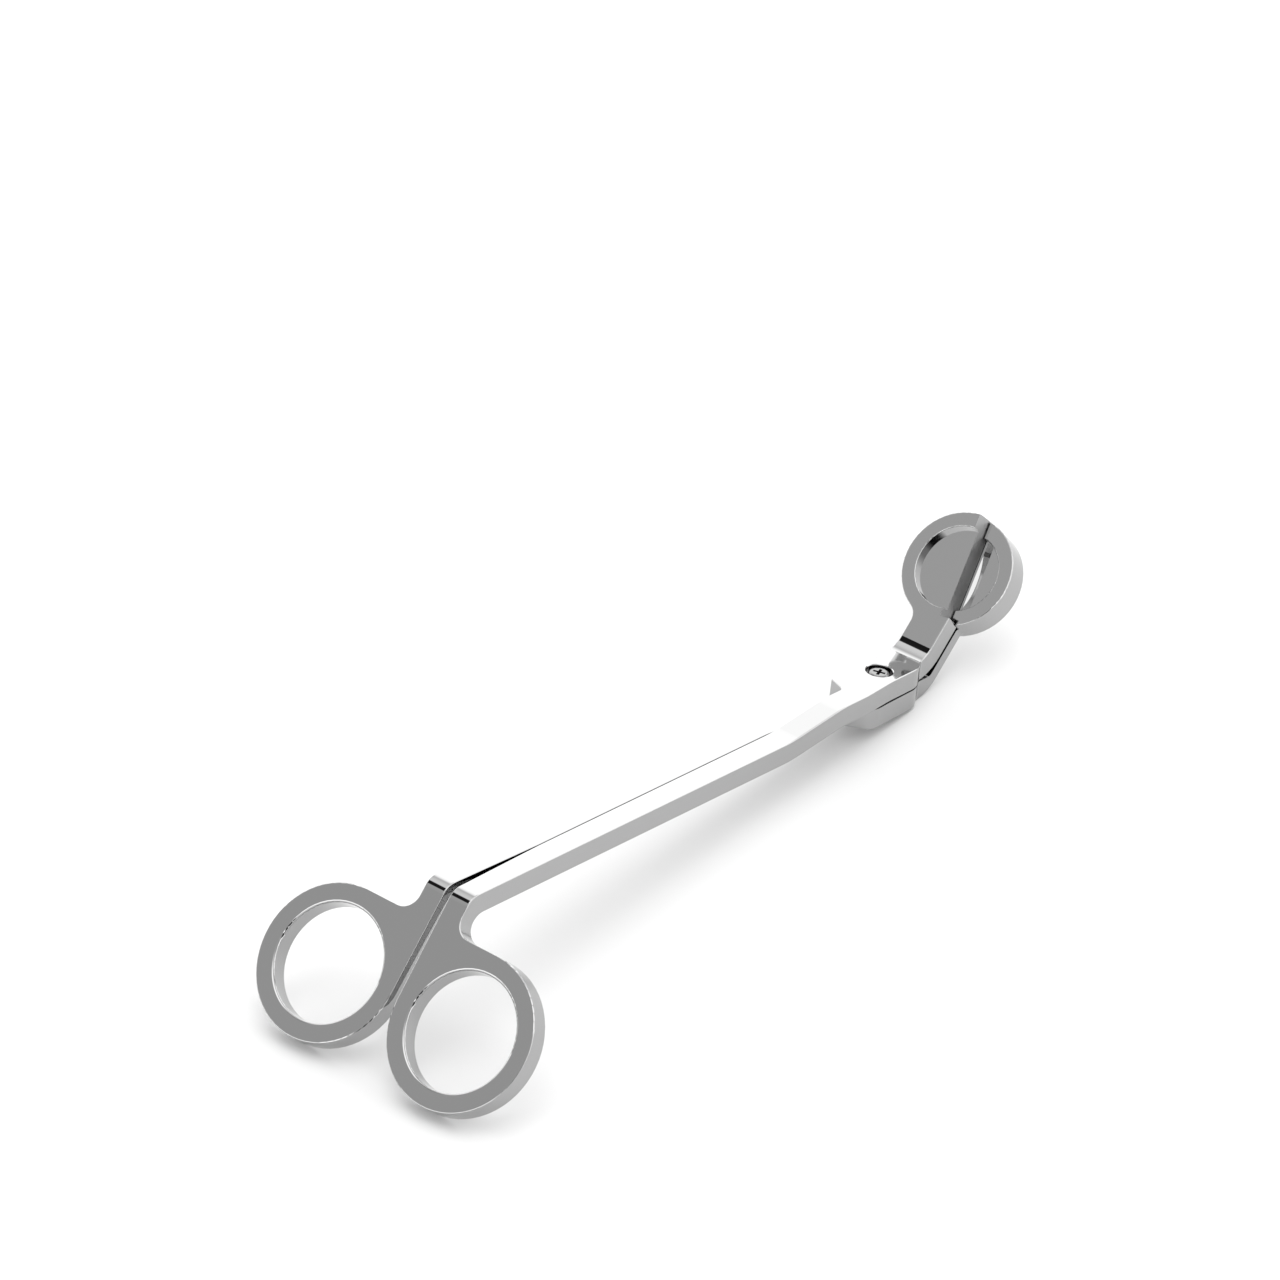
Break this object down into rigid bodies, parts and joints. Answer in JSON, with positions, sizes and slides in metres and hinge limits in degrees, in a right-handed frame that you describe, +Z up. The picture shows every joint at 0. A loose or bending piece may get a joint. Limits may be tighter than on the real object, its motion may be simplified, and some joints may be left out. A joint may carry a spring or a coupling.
{
  "type": "wick trimmer",
  "caption": "Cranked scissor-style wick trimmer with finger rings, a screw pivot and a round cutting head with a shallow catch tray, in mirror-polished steel.",
  "frame": {"origin": "on the table under the middle of the whole trimmer, closed and resting on its rings' back edges and the front bend", "axes": "+X forwards to the cutting head, +Y to the left, +Z up"},
  "size_m": [0.186, 0.0606, 0.0282],
  "materials": {
    "polished_steel": "mirror polished",
    "screw_steel": "turned",
    "washer_brass": "satin"
  },
  "bodies": {
    "lower": {"lower_lever": "polished_steel", "pivot_screw": "screw_steel", "pivot_washer": "washer_brass"},
    "upper": {"upper_lever": "polished_steel"}
  },
  "joints": [
    {"name": "lever_pivot", "type": "hinge", "parent": "lower", "child": "upper", "pos_m": [0.05392, 0, 0.00787], "axis": [0.1683, 0, 0.9857], "range_deg": [0, 35]}
  ]
}
